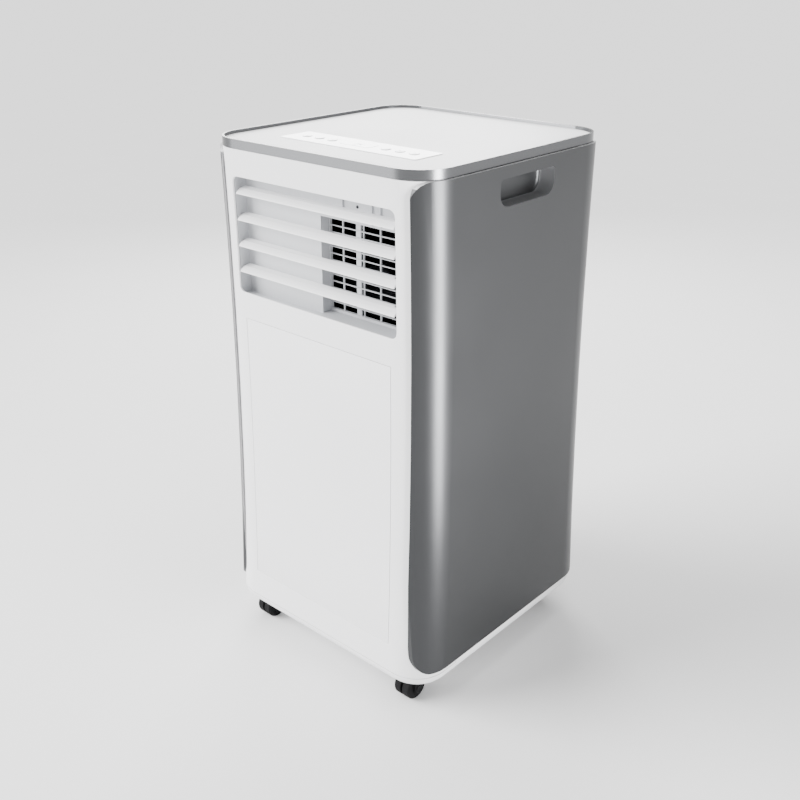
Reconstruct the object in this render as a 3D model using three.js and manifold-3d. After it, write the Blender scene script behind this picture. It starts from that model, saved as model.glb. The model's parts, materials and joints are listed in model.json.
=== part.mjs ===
// Portable air conditioner: an upright cabinet on swivel casters with a louvred cold-air outlet at the
// front, intake grilles and an exhaust port at the rear, and the refrigeration parts inside.
// Millimetres, +Z up, front towards -Y, origin on the floor under the middle of the cabinet.
import * as THREE from 'three';
import { mergeVertices } from 'three/addons/utils/BufferGeometryUtils.js';
import Module from 'manifold-3d';

const wasm = await Module();
wasm.setup();

// ---- cabinet
const HEIGHT = 700;
const BODY_HALF_W = 176.5;
const BODY_HALF_D = 178.5;
const CORNER_R = 45;
const WALL = 3;
const GAP = 0.4; // left between pieces that touch
const BASE_LOW = 38;
const BASE_TOP = 52;
const BASE_FLOOR = 42;
const BASE_ROUND = 12;
const SHELL_LOW = BASE_TOP + GAP;
const RIM_LOW = 688.4;
const SHELL_TOP = RIM_LOW - GAP;
const SHELL_SPLIT_Y = 112; // the front and rear shells reach back and forward to here
const SHELL_STEPS = 6;
const WAIST_Y = 6; // how far front and rear draw in at mid height
const WAIST_X = 1.5;
const FLARE = 4; // how far each side steps out from the rim down to the base
const CORNER_SEGMENTS = 4; // three.js draws an arc in twice as many steps

// ---- side panels
const PROUD = 3.5; // they stand proud of the white body
const PANEL_LOW = 60;
const PANEL_TOP = SHELL_TOP;
const PANEL_EDGE_X = 154;
const PANEL_CORNER_R = 28;
const HANDLE = { y0: -50, y1: 58, z0: 640, z1: 673, topR: 6, lowR: 16, floorX: 156, wall: 2.5, round: 5 };

// ---- top
const RIM_LIP = 2.6;
const RIM_LEDGE = 12;
const RIM_LEDGE_TOP = 690.5;
const PLATE_LOW = RIM_LEDGE_TOP + GAP;
const PLATE_TOP = 696;
const PANEL_HALF_X = 111;
const PANEL_Y = -92;
const PANEL_HALF_Y = 25;
const PANEL_SEAT = 692.2;
const CONTROL_TOP = 696.8;
const BUTTON_R = 6;
const BUTTON_X = [-88, -66, -44, 44, 66, 88];
const BUTTON_PROUD = 0.8;

// ---- cold-air outlet
const OUTLET = { halfX: 134, z0: 505, z1: 654, r: 8 };
const DUCT = { reach: 24, wallY: -156, z0: 501, z1: 658, ribX: [36, 82, 95] }; // the pan behind the vanes
const THROAT = { // leads back from the right of the pan's wall and widens behind the guard
  x0: -2, x1: OUTLET.halfX, z1: 622, widenY: -138, back: -92, backX0: -64, backZ0: 470,
};
const GUARD = {
  y0: -143, y1: -139, frame: 3.8, gaps: 13, bar: 1,
  posts: [[20, 1.4], [45.3, 7.4], [53.3, 1], [80, 1.4], [107, 1.4]], // each at x, with its width
};
const LOUVER_COUNT = 4;
const LOUVER_PITCH = 33.4;
const LOUVER_TOP_Z = 635.5;
const LOUVER_Y = -166;
const LOUVER_HALF_X = 130.6;
const LOUVER_PIN_R = 2;
const LINK = { x0: 123, x1: 129, y0: -159.6, y1: -157.2, notchX: 120.5, lug: 2.6 };

// ---- lower front cover
const COVER = { halfX: 125, z0: 92, z1: 470, lap: 6 };

// ---- rear
const UPPER_INTAKE = { halfX: 125, z0: 430, z1: 655, rows: 14, columns: 3 };
const LOWER_INTAKE = { halfX: 130, z0: 82, z1: 222, rows: 9, columns: 3 };
const EXHAUST = { x: 55, z: 310, bore: 67, outer: 72, flange: 79 };
const DRAIN = { x: -116, upperZ: 404, lowerZ: 67, r: 12 };
const GLAND = { x: 118, z: 67, r: 8 };

// ---- inside
const DECK_LOW = 388;
const DECK_TOP = 396;
const EVAPORATOR = { x: 0, z: 502, wheelR: 92, inletR: 80, halfX: 145, rear: 112, top: 664 };
const CONDENSER = { halfX: 92, low: 237, y0: 10, y1: 150, wheelR: 64, inletR: 56 };
const COIL = { y0: 128, y1: 156 };
const COMPRESSOR = { x: -66, y: -40, r: 58 };
const ACCUMULATOR = { x: -138, y: -70, r: 16 };

// ---- casters
const CASTER_X = 134;
const CASTER_Y = 140;
const WHEEL_R = 17.5;
const WHEEL_WIDTH = 26;
const WHEEL_GROOVE = { half: 1.6, depth: 5 }; // parts the tread in two
const WHEEL_SEGMENTS = 24;
const CASTER_TRAIL = -9; // the wheels trail forward, as after a push to the rear
const WELL_R = 27;
const WELL_TOP = 48;
const BOSS_R = 31;

// ---- finishes: colour, roughness, metalness
const FINISH = {
  whitePlastic: [0xe9e9eb, 0.42, 0],
  topPlastic: [0xdfe0e2, 0.45, 0],
  silver: [0x8d8f93, 0.34, 0.6],
  brightSilver: [0xa9abae, 0.3, 0.7],
  glossWhite: [0xf7f8fa, 0.12, 0],
  paleGlass: [0xe3e6ea, 0.08, 0],
  ductGrey: [0xbfc2c7, 0.5, 0],
  black: [0x1b1c1e, 0.5, 0],
  rubber: [0x242527, 0.75, 0],
  aluminium: [0xb9bcc0, 0.4, 0.9],
  copper: [0xb87348, 0.35, 0.9],
  steel: [0x3a3d42, 0.45, 0.5],
  board: [0x1f5d3a, 0.6, 0],
  foam: [0x6d7074, 0.9, 0],
};

// ---- solids

function toSolid(geometry) {
  const bare = geometry.clone();
  bare.deleteAttribute('normal');
  bare.deleteAttribute('uv');
  const merged = mergeVertices(bare, 1e-4);
  const index = merged.index.array;
  const kept = [];
  for (let i = 0; i < index.length; i += 3) {
    const [a, b, c] = [index[i], index[i + 1], index[i + 2]];
    if (a !== b && b !== c && c !== a) kept.push(a, b, c);
  }
  const mesh = new wasm.Mesh({
    numProp: 3,
    vertProperties: new Float32Array(merged.attributes.position.array),
    triVerts: new Uint32Array(kept),
  });
  return new wasm.Manifold(mesh);
}

function toGeometry(solid) {
  const mesh = solid.getMesh();
  const geometry = new THREE.BufferGeometry();
  geometry.setAttribute('position', new THREE.BufferAttribute(new Float32Array(mesh.vertProperties), 3));
  geometry.setIndex(new THREE.BufferAttribute(new Uint32Array(mesh.triVerts), 1));
  return geometry;
}

function join(solids) {
  return solids.reduce((whole, piece) => whole.add(piece));
}

function cut(solid, tools) {
  return tools.reduce((rest, tool) => rest.subtract(tool), solid);
}

function box(x0, x1, y0, y1, z0, z1) {
  const geometry = new THREE.BoxGeometry(x1 - x0, y1 - y0, z1 - z0);
  geometry.translate((x0 + x1) / 2, (y0 + y1) / 2, (z0 + z1) / 2);
  return toSolid(geometry);
}

// Turns a shape drawn in (x, y), (x, z) or (y, z) into a prism along the axis that is left.
const SHAPE_FRAMES = {
  z: [[1, 0, 0], [0, 1, 0], [0, 0, 1]],
  y: [[1, 0, 0], [0, 0, 1], [0, -1, 0]],
  x: [[0, 1, 0], [0, 0, 1], [1, 0, 0]],
};

function extrude(shape, axis, from, to, options = {}) {
  const bevel = options.bevel ?? 0;
  const geometry = new THREE.ExtrudeGeometry(shape, {
    depth: to - from - 2 * bevel,
    steps: options.steps ?? 1,
    curveSegments: options.segments ?? 2,
    bevelEnabled: bevel > 0,
    bevelThickness: bevel,
    bevelSize: bevel,
    bevelOffset: -bevel,
    bevelSegments: options.bevelSegments ?? 3,
  });
  geometry.translate(0, 0, bevel);
  const [u, v, w] = SHAPE_FRAMES[axis].map((column) => new THREE.Vector3(...column));
  geometry.applyMatrix4(new THREE.Matrix4().makeBasis(u, v, w));
  const start = { x: [from, 0, 0], y: [0, to, 0], z: [0, 0, from] }[axis];
  geometry.translate(...start);
  return geometry;
}

function prism(shape, axis, from, to, options) {
  return toSolid(extrude(shape, axis, from, to, options));
}

// A closed profile of [radius, height] points turned about an axis through the centre given.
function turned(profile, axis, centre, segments = 24) {
  const points = profile.map(([radius, height]) => new THREE.Vector2(radius, height));
  const geometry = new THREE.LatheGeometry(points, segments);
  if (axis === 'z') geometry.rotateX(Math.PI / 2);
  if (axis === 'x') geometry.rotateZ(-Math.PI / 2);
  geometry.translate(...centre);
  return toSolid(geometry);
}

function rod(radius, axis, from, to, centre, segments = 16) {
  return turned([[0, from], [radius, from], [radius, to], [0, to]], axis, centre, segments);
}

function roundedRect(x0, x1, y0, y1, lowR, topR = lowR) {
  const shape = new THREE.Shape();
  shape.moveTo(x0 + lowR, y0);
  shape.lineTo(x1 - lowR, y0);
  shape.absarc(x1 - lowR, y0 + lowR, lowR, -Math.PI / 2, 0);
  shape.lineTo(x1, y1 - topR);
  shape.absarc(x1 - topR, y1 - topR, topR, 0, Math.PI / 2);
  shape.lineTo(x0 + topR, y1);
  shape.absarc(x0 + topR, y1 - topR, topR, Math.PI / 2, Math.PI);
  shape.lineTo(x0, y0 + lowR);
  shape.absarc(x0 + lowR, y0 + lowR, lowR, Math.PI, Math.PI * 1.5);
  return shape;
}

function polygon(points) {
  return new THREE.Shape(points.map(([x, y]) => new THREE.Vector2(x, y)));
}

function cabinetOutline(offset) {
  const x = BODY_HALF_W + offset;
  const y = BODY_HALF_D + offset;
  return roundedRect(-x, x, -y, y, CORNER_R + offset);
}

// ---- the cabinet's waist and flare: the base and every shell follow the same smooth curve

function growth(z, waist) {
  const middle = (BASE_TOP + RIM_LOW) / 2;
  const half = (RIM_LOW - BASE_TOP) / 2;
  const drawnIn = Math.max(0, 1 - ((z - middle) / half) ** 2);
  return FLARE * (RIM_LOW - z) / (2 * half) - waist * drawnIn;
}

function rearFaceY(z) {
  return BODY_HALF_D + growth(z, WAIST_Y);
}

function shapeToCabinet(geometry) {
  const position = geometry.attributes.position;
  for (let i = 0; i < position.count; i += 1) {
    const z = position.getZ(i);
    position.setX(i, position.getX(i) * (1 + growth(z, WAIST_X) / BODY_HALF_W));
    position.setY(i, position.getY(i) * (1 + growth(z, WAIST_Y) / BODY_HALF_D));
  }
  return toSolid(geometry);
}

function shell(outer, inner, low, high) {
  const outline = cabinetOutline(outer);
  outline.holes.push(cabinetOutline(inner));
  return shapeToCabinet(
    extrude(outline, 'z', low, high, { steps: SHELL_STEPS, segments: CORNER_SEGMENTS }));
}

const OUTSIDE = 220; // a reach beyond every outer face
const INSIDE = 140; // front and rear skins all lie further out than this

function slotGrid(area, pitchShare, y0, y1) {
  const slots = [];
  const width = (2 * area.halfX) / area.columns;
  const pitch = (area.z1 - area.z0) / area.rows;
  const webX = 3;
  for (let row = 0; row < area.rows; row += 1) {
    const z = area.z0 + (row + 0.5) * pitch;
    for (let column = 0; column < area.columns; column += 1) {
      const x = -area.halfX + column * width;
      slots.push(box(x + webX, x + width - webX, y0, y1, z - pitch * pitchShare, z + pitch * pitchShare));
    }
  }
  return slots;
}

// ---- base and casters

// The tray's side walls rise to the side panels between the front and rear shells.
function sills() {
  const reach = SHELL_SPLIT_Y - GAP;
  return shell(0, -WALL, BASE_TOP - 1, PANEL_LOW - GAP)
    .intersect(box(-OUTSIDE, OUTSIDE, -reach, reach, 0, HEIGHT));
}

function baseTray() {
  const outside = shapeToCabinet(extrude(cabinetOutline(0), 'z', BASE_LOW, BASE_TOP + BASE_ROUND, {
    bevel: BASE_ROUND,
    bevelSegments: 3,
    segments: CORNER_SEGMENTS,
  }));
  let tray = outside.subtract(box(-OUTSIDE, OUTSIDE, -OUTSIDE, OUTSIDE, BASE_TOP, HEIGHT));
  let hollow = prism(cabinetOutline(-BASE_ROUND), 'z', BASE_FLOOR, BASE_TOP + 1);
  for (const [x, y] of casterPlaces()) {
    hollow = hollow.subtract(rod(BOSS_R, 'z', BASE_LOW, BASE_TOP + 1, [x, y, 0], 16));
  }
  tray = tray.subtract(hollow).add(sills());
  for (const [x, y] of casterPlaces()) {
    tray = tray.subtract(rod(WELL_R, 'z', BASE_LOW - 1, WELL_TOP, [x, y, 0], 20));
    tray = tray.subtract(rod(STEM_R + GAP, 'z', WELL_TOP - 1, STEM_TOP + GAP, [x, y, 0], 10));
  }
  return tray;
}

function casterPlaces() {
  const places = [];
  for (const y of [-CASTER_Y, CASTER_Y]) {
    for (const x of [-CASTER_X, CASTER_X]) places.push([x, y]);
  }
  return places;
}

const AXLE_Z = WHEEL_R * Math.cos(Math.PI / WHEEL_SEGMENTS); // a flat of the tread lies on the floor
const AXLE_R = 2.5;
const STEM_R = 4;
const STEM_TOP = 50.5;

function casterFork(x, y) {
  const cheekIn = WHEEL_WIDTH / 2 + GAP;
  const cheekOut = cheekIn + 3;
  const crown = turned([[0, 40], [19, 40], [22, 43], [22, WELL_TOP - GAP], [0, WELL_TOP - GAP]],
    'z', [x, y, 0], 16);
  const stem = rod(STEM_R, 'z', WELL_TOP - 2, STEM_TOP, [x, y, 0], 10);
  const cheekShape = new THREE.Shape();
  const bossR = 9;
  cheekShape.moveTo(y - 14, 42);
  cheekShape.lineTo(y + CASTER_TRAIL - bossR, AXLE_Z);
  cheekShape.absarc(y + CASTER_TRAIL, AXLE_Z, bossR, Math.PI, 2 * Math.PI);
  cheekShape.lineTo(y + 12, 42);
  const cheeks = [
    prism(cheekShape, 'x', x - cheekOut, x - cheekIn),
    prism(cheekShape, 'x', x + cheekIn, x + cheekOut),
  ];
  const axle = rod(AXLE_R, 'x', -cheekOut, cheekOut, [x, y + CASTER_TRAIL, AXLE_Z], 10);
  return join([crown, stem, axle, ...cheeks]);
}

function casterWheel(x, y) {
  const half = WHEEL_WIDTH / 2;
  const bore = AXLE_R + 0.05;
  const treadEdge = half - 2;
  const groove = WHEEL_GROOVE.half;
  const grooveR = WHEEL_R - WHEEL_GROOVE.depth;
  const profile = [
    [bore, -half], [WHEEL_R - 2, -half], [WHEEL_R, -treadEdge], [WHEEL_R, -groove],
    [grooveR, -groove], [grooveR, groove], [WHEEL_R, groove], [WHEEL_R, treadEdge],
    [WHEEL_R - 2, half], [bore, half], [bore, -half],
  ];
  const points = profile.map(([radius, height]) => new THREE.Vector2(radius, height));
  const geometry = new THREE.LatheGeometry(points, WHEEL_SEGMENTS);
  geometry.rotateZ(-Math.PI / 2);
  geometry.rotateX(Math.PI / WHEEL_SEGMENTS);
  geometry.translate(x, y + CASTER_TRAIL, AXLE_Z);
  return toSolid(geometry);
}

// ---- cabinet shells

function frontPanel() {
  const front = shell(0, -WALL, SHELL_LOW, SHELL_TOP)
    .intersect(box(-OUTSIDE, OUTSIDE, -OUTSIDE, -SHELL_SPLIT_Y, 0, HEIGHT));
  const outlet = prism(
    roundedRect(-OUTLET.halfX, OUTLET.halfX, OUTLET.z0, OUTLET.z1, OUTLET.r), 'y', -OUTSIDE, -INSIDE);
  const cover = box(-COVER.halfX, COVER.halfX, -OUTSIDE, -INSIDE, COVER.z0, COVER.z1);
  return cut(front, [outlet, cover]);
}

function lowerFrontCover() {
  const { halfX, z0, z1, lap } = COVER;
  const back = WALL + GAP + 2;
  const face = shell(0, -back, SHELL_LOW, SHELL_TOP)
    .intersect(box(GAP - halfX, halfX - GAP, -OUTSIDE, -INSIDE, z0 + GAP, z1 - GAP));
  const flange = shell(-WALL - GAP, -back, SHELL_LOW, SHELL_TOP)
    .intersect(box(-halfX - lap, halfX + lap, -OUTSIDE, -INSIDE, z0 - lap, z1 + lap));
  return face.add(flange);
}

// The outline of a side panel seen from its side. Its rounded corners are drawn along the curved skin.
function sidePanelOutline() {
  const skinR = CORNER_R + PROUD;
  const centreY = BODY_HALF_D - CORNER_R;
  const startAngle = Math.asin((PANEL_EDGE_X - (BODY_HALF_W - CORNER_R)) / skinR);
  const steps = 8;
  const quarter = [];
  for (let i = 0; i <= steps; i += 1) {
    const along = PANEL_CORNER_R * (1 - Math.cos(Math.PI / 2 * i / steps));
    const rise = PANEL_CORNER_R * Math.sin(Math.PI / 2 * i / steps);
    quarter.push([centreY + skinR * Math.cos(startAngle + along / skinR), PANEL_CORNER_R - rise]);
  }
  const top = quarter.map(([y, drop]) => [y, PANEL_TOP - drop]);
  const low = quarter.map(([y, drop]) => [y, PANEL_LOW + drop]);
  const rear = [...low.reverse(), ...top];
  const front = rear.map(([y, z]) => [-y, z]).reverse();
  return polygon([...rear, ...front]);
}

function sidePanel(side) {
  const skin = shell(PROUD, GAP, PANEL_LOW, PANEL_TOP)
    .intersect(box(PANEL_EDGE_X, OUTSIDE, -OUTSIDE, OUTSIDE, 0, HEIGHT))
    .intersect(prism(sidePanelOutline(), 'x', 0, OUTSIDE));
  const { y0, y1, z0, z1, topR, lowR, floorX, wall, round } = HANDLE;
  const pocket = (grow) => prism(
    roundedRect(y0 - grow, y1 + grow, z0 - grow, z1 + grow, lowR + grow, topR + grow),
    'x', floorX - grow, OUTSIDE, { bevel: round, bevelSegments: 3 });
  const innerFace = BODY_HALF_W - WAIST_X;
  const cup = pocket(wall).intersect(box(0, innerFace + 2, -OUTSIDE, OUTSIDE, 0, HEIGHT));
  const panel = skin.add(cup).subtract(pocket(0));
  return side > 0 ? panel : panel.mirror([1, 0, 0]);
}

function rearSkin() {
  return shell(0, -WALL, SHELL_LOW, SHELL_TOP)
    .intersect(box(-OUTSIDE, OUTSIDE, SHELL_SPLIT_Y, OUTSIDE, 0, HEIGHT));
}

function intakeArea({ halfX, z0, z1 }, shrink) {
  return box(shrink - halfX, halfX - shrink, INSIDE, OUTSIDE, z0 + shrink, z1 - shrink);
}

function rearPanel() {
  return cut(rearSkin(), [
    intakeArea(UPPER_INTAKE, 0),
    intakeArea(LOWER_INTAKE, 0),
    rod(EXHAUST.outer + GAP, 'y', INSIDE, OUTSIDE, [EXHAUST.x, 0, EXHAUST.z], 32),
    rod(DRAIN.r, 'y', INSIDE, OUTSIDE, [DRAIN.x, 0, DRAIN.upperZ]),
    rod(DRAIN.r, 'y', INSIDE, OUTSIDE, [DRAIN.x, 0, DRAIN.lowerZ]),
    rod(GLAND.r, 'y', INSIDE, OUTSIDE, [GLAND.x, 0, GLAND.z]),
  ]);
}

function intakeGrille(area) {
  const frame = 6;
  const slotShare = 0.3;
  const inside = { ...area, halfX: area.halfX - frame, z0: area.z0 + frame, z1: area.z1 - frame };
  const skin = rearSkin().intersect(intakeArea(area, GAP));
  return skin.subtract(join(slotGrid(inside, slotShare, INSIDE, OUTSIDE)));
}

function intakeFilter() {
  const { halfX, z0, z1 } = UPPER_INTAKE;
  const inset = 6;
  const frame = 5;
  const sheet = box(inset - halfX, halfX - inset, 160, 163.5, z0 + inset, z1 - inset);
  const panes = slotGrid(
    { halfX: halfX - inset - frame, z0: z0 + inset + frame, z1: z1 - inset - frame, rows: 3, columns: 3 },
    0.48, 162, 170);
  return sheet.subtract(join(panes));
}

// ---- top

function topRim() {
  const wall = cabinetOutline(0);
  wall.holes.push(cabinetOutline(-RIM_LIP));
  const ledge = cabinetOutline(-1);
  ledge.holes.push(cabinetOutline(-RIM_LEDGE));
  return prism(wall, 'z', RIM_LOW, HEIGHT, { segments: CORNER_SEGMENTS })
    .add(prism(ledge, 'z', RIM_LOW, RIM_LEDGE_TOP, { segments: CORNER_SEGMENTS }));
}

function controlOutline(offset) {
  const x = PANEL_HALF_X + offset;
  const y = PANEL_HALF_Y + offset;
  return roundedRect(-x, x, PANEL_Y - y, PANEL_Y + y, 3 + Math.max(offset, 0));
}

function topPlate() {
  const seatLap = 3;
  const plate = prism(cabinetOutline(-RIM_LIP - GAP), 'z', PLATE_LOW, PLATE_TOP,
    { segments: CORNER_SEGMENTS });
  return cut(plate, [
    prism(controlOutline(GAP), 'z', PANEL_SEAT, HEIGHT),
    prism(roundedRect(seatLap - PANEL_HALF_X, PANEL_HALF_X - seatLap,
      PANEL_Y - PANEL_HALF_Y + seatLap, PANEL_Y + PANEL_HALF_Y - seatLap, 2), 'z', 680, HEIGHT),
  ]);
}

const DISPLAY_HALF_X = 24;
const DISPLAY_HALF_Y = 9;
const DISPLAY_SEAT = 694.4;

function displayOutline(offset) {
  const x = DISPLAY_HALF_X + offset;
  const y = DISPLAY_HALF_Y + offset;
  return roundedRect(-x, x, PANEL_Y - y, PANEL_Y + y, 2);
}

function controlPanel() {
  const holes = BUTTON_X.map((x) => rod(BUTTON_R + GAP, 'z', 680, HEIGHT, [x, PANEL_Y, 0], 16));
  const plate = prism(controlOutline(0), 'z', PANEL_SEAT + GAP, CONTROL_TOP);
  return cut(plate, [...holes, prism(displayOutline(GAP), 'z', DISPLAY_SEAT, HEIGHT)]);
}

function button(x) {
  const flangeLow = PANEL_SEAT - 3.2;
  const flangeTop = flangeLow + 2;
  const flangeR = BUTTON_R + 1.4;
  const top = CONTROL_TOP + BUTTON_PROUD;
  return turned([
    [0, flangeLow], [flangeR, flangeLow], [flangeR, flangeTop], [BUTTON_R, flangeTop],
    [BUTTON_R, top - 0.6], [BUTTON_R - 0.6, top], [0, top],
  ], 'z', [x, PANEL_Y, 0], 16);
}

function controlBoard() {
  const sheet = box(-104, 104, PANEL_Y - 21, PANEL_Y + 21, 676, 677.6);
  const posts = [-98, 98].flatMap((x) => [-17, 17].map(
    (y) => rod(3, 'z', 676, PLATE_LOW - GAP, [x, PANEL_Y + y, 0], 10)));
  const switches = BUTTON_X.map((x) => box(x - 3, x + 3, PANEL_Y - 3, PANEL_Y + 3, 677, 685));
  return join([sheet, ...posts, ...switches]);
}

// ---- cold-air outlet

// The air's way from the pan to the blower housing: straight as far as the guard, then wider at the left
// and below.
function throatSpace(grow, overrun) {
  const { x0, x1, z1, widenY, back, backX0, backZ0 } = THROAT;
  const low = DUCT.z0 - grow;
  const high = z1 + grow;
  const straight = box(x0 - grow, x1 + grow, DUCT.wallY - overrun, widenY, low, high);
  const narrow = box(x0 - grow, x1 + grow, widenY - 1, widenY, low, high);
  const wide = box(backX0 - grow, x1 + grow, back - 1, back, backZ0 - grow, high);
  const outflow = box(backX0 - grow, x1 + grow, back - 1, back + overrun, backZ0 - grow, high);
  return join([straight, narrow.add(wide).hull(), outflow]);
}

function outletDuct() {
  const { wallY, z0, z1, ribX } = DUCT;
  const side = OUTLET.halfX;
  const behindPanel = shell(-WALL - GAP, -WALL - DUCT.reach, SHELL_LOW, SHELL_TOP);
  const pan = box(-side - WALL, side + WALL, -OUTSIDE, wallY + WALL, z0 - WALL, z1 + WALL)
    .intersect(behindPanel)
    .subtract(box(-side, side, -OUTSIDE, wallY, z0, z1));
  const throat = throatSpace(WALL, 0);
  const bore = throatSpace(0, 1);
  const ribs = ribX.map((x) => box(x - 0.8, x + 0.8, wallY - 2.2, wallY + 1, THROAT.z1 + 2, z1 + 1));
  const pins = louverHeights().map((z) => rod(
    LOUVER_PIN_R + GAP, 'x', -side - WALL - 1, side + WALL + 1, [0, LOUVER_Y, z], 12));
  return cut(join([pan, throat, ...ribs]), [bore, ...pins]);
}

function outletGuard() {
  const left = THROAT.x0 + GAP;
  const right = THROAT.x1 - GAP;
  const low = DUCT.z0 + GAP;
  const high = THROAT.z1 - GAP;
  const { y0, y1, frame, gaps, bar, posts } = GUARD;
  const middle = (y0 + y1) / 2;
  const solids = [
    box(left, right, y0, y1, low, low + frame),
    box(left, right, y0, y1, high - frame, high),
    box(left, left + 1.5, y0, y1, low, high),
    box(right - frame, right, y0, y1, low, high),
  ];
  const pitch = (high - low - 2 * frame) / gaps;
  for (let i = 1; i < gaps; i += 1) {
    const z = low + frame + i * pitch;
    solids.push(box(left + 1, right - 1, y0 + 0.5, middle + 0.5, z - bar / 2, z + bar / 2));
  }
  for (const [x, width] of posts) {
    solids.push(box(x - width / 2, x + width / 2, middle - 0.5, y1 - 0.5, low + 1, high - 1));
  }
  return join(solids);
}

function louverHeights() {
  return Array.from({ length: LOUVER_COUNT }, (unused, i) => LOUVER_TOP_Z - i * LOUVER_PITCH);
}

// The blade's section: a curved vane, low and rounded at the front, high and thin at the back.
function louverSection(z) {
  const upper = new THREE.CubicBezierCurve(
    new THREE.Vector2(-9.2, -2.2), new THREE.Vector2(-6, 1.4),
    new THREE.Vector2(-1, 3.4), new THREE.Vector2(5.5, 4.3));
  const lower = new THREE.CubicBezierCurve(
    new THREE.Vector2(5.5, 2.6), new THREE.Vector2(0.5, 1.2),
    new THREE.Vector2(-4, -0.8), new THREE.Vector2(-7.8, -3.8));
  const points = [...upper.getPoints(5), ...lower.getPoints(5)];
  points.push(new THREE.Vector2(-9.2, -3.8));
  return polygon(points.map((point) => [LOUVER_Y + point.x, z + point.y]));
}

function louver(z) {
  const hubLength = 8;
  const blade = prism(louverSection(z), 'x', -LOUVER_HALF_X, LOUVER_HALF_X);
  const hub = rod(3.2, 'x', -LOUVER_HALF_X, LOUVER_HALF_X, [0, LOUVER_Y, z], 10)
    .subtract(box(hubLength - LOUVER_HALF_X, LOUVER_HALF_X - hubLength, -OUTSIDE, 0, 0, HEIGHT));
  const reach = OUTLET.halfX + WALL - GAP;
  const pin = rod(LOUVER_PIN_R, 'x', -reach, reach, [0, LOUVER_Y, z], 12)
    .subtract(box(4 - LOUVER_HALF_X, LOUVER_HALF_X - 4, -OUTSIDE, 0, 0, HEIGHT));
  const linkSpace = box(LINK.notchX, OUTSIDE, LOUVER_Y + LOUVER_PIN_R + 0.2, 0, z - 20, z + 20);
  return join([blade, hub, pin]).subtract(linkSpace);
}

function louverLink() {
  const heights = louverHeights();
  const bar = box(LINK.x0, LINK.x1, LINK.y0, LINK.y1, heights[LOUVER_COUNT - 1] - 4, heights[0] + 8);
  const lugs = heights.map((z) => box(LINK.x0, LINK.x1, LINK.y0 - LINK.lug, LINK.y0 + 1, z + 1, z + 5));
  return join([bar, ...lugs]);
}

function louverMotor() {
  const x0 = OUTLET.halfX + WALL + GAP;
  const bodyY = LOUVER_Y + 9;
  const body = rod(8.5, 'x', x0, x0 + 14, [0, bodyY, LOUVER_TOP_Z], 14);
  const ear = box(x0, x0 + 2, bodyY - 5, bodyY + 17, LOUVER_TOP_Z - 5, LOUVER_TOP_Z + 5);
  return body.add(ear);
}

// ---- air movers and coils

// A squirrel-cage wheel about Y: a closed disc with a hub at the front and an open ring at the rear.
function blowerWheel(x, z, radius, y0, y1, bladeCount) {
  const rim = radius * 0.13;
  const disc = rod(radius, 'y', y0, y0 + 2.5, [x, 0, z], 24);
  const hub = rod(12, 'y', y0, y0 + 18, [x, 0, z], 12);
  const ring = rod(radius, 'y', y1 - 3, y1, [x, 0, z], 24)
    .subtract(rod(radius - rim, 'y', y1 - 4, y1 + 1, [x, 0, z], 24));
  const blades = [];
  for (let i = 0; i < bladeCount; i += 1) {
    const geometry = new THREE.BoxGeometry(rim - 2, y1 - y0 - 2, 1.6);
    geometry.rotateY(Math.PI / 6);
    geometry.translate(radius - rim / 2 - 0.5, (y0 + y1) / 2, 0);
    geometry.rotateY(2 * Math.PI * i / bladeCount);
    geometry.translate(x, 0, z);
    blades.push(toSolid(geometry));
  }
  return join([disc, hub, ring, ...blades]).subtract(rod(4.4, 'y', y0 - 1, y0 + 19, [x, 0, z], 12));
}

function fanMotor(x, z, radius, y0, y1, shaftEnd, halfSpan) {
  const body = turned([[0, y0], [radius - 4, y0], [radius, y0 + 4], [radius, y1 - 4], [radius - 4, y1],
    [0, y1]], 'y', [x, 0, z], 20);
  const shaft = rod(4, 'y', y1 - 1, shaftEnd, [x, 0, z], 12);
  const bracket = box(x - halfSpan, x + halfSpan, y0 - 3, y0 + 3, z - 9, z + 9);
  return join([body, shaft, bracket]);
}

function evaporatorHousing() {
  const { x, z, inletR, halfX, rear, top } = EVAPORATOR;
  const front = THROAT.back + GAP;
  const low = DECK_TOP + GAP;
  const outside = box(x - halfX, x + halfX, front, rear, low, top);
  const inside = box(x - halfX + WALL, x + halfX - WALL, front + WALL, rear - WALL, low + WALL, top - WALL);
  const mouth = box(THROAT.backX0 + 2, THROAT.x1 - 2, front - 1, front + 8, THROAT.backZ0 + 2, THROAT.z1 - 2);
  const inlet = rod(inletR, 'y', rear - 8, rear + 1, [x, 0, z], 32);
  return cut(outside, [inside, mouth, inlet]);
}

function condenserHousing() {
  const { x, z, bore } = EXHAUST;
  const { halfX, low, y0, y1, inletR } = CONDENSER;
  const high = DECK_LOW - GAP;
  const outside = box(x - halfX, x + halfX, y0, y1, low, high);
  const inside = box(x - halfX + WALL, x + halfX - WALL, y0 + WALL, y1 - WALL, low + WALL, high - WALL);
  return cut(outside, [
    inside,
    rod(bore - 1, 'y', y1 - 10, y1 + 1, [x, 0, z], 32),
    rod(inletR, 'y', y0 - 1, y0 + 10, [x, 0, z], 32),
  ]);
}

function finnedCoil(halfX, z0, z1, finCount) {
  const { y0, y1 } = COIL;
  const block = box(-halfX, halfX, y0, y1, z0, z1);
  const pitch = (2 * halfX - 8) / finCount;
  const slots = [];
  for (let i = 0; i < finCount; i += 1) {
    const x = 4 - halfX + (i + 0.5) * pitch;
    slots.push(box(x - pitch * 0.3, x + pitch * 0.3, y0 + 6, y1 + 1, z0 + 3, z1 - 3));
  }
  return cut(block, slots);
}

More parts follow.
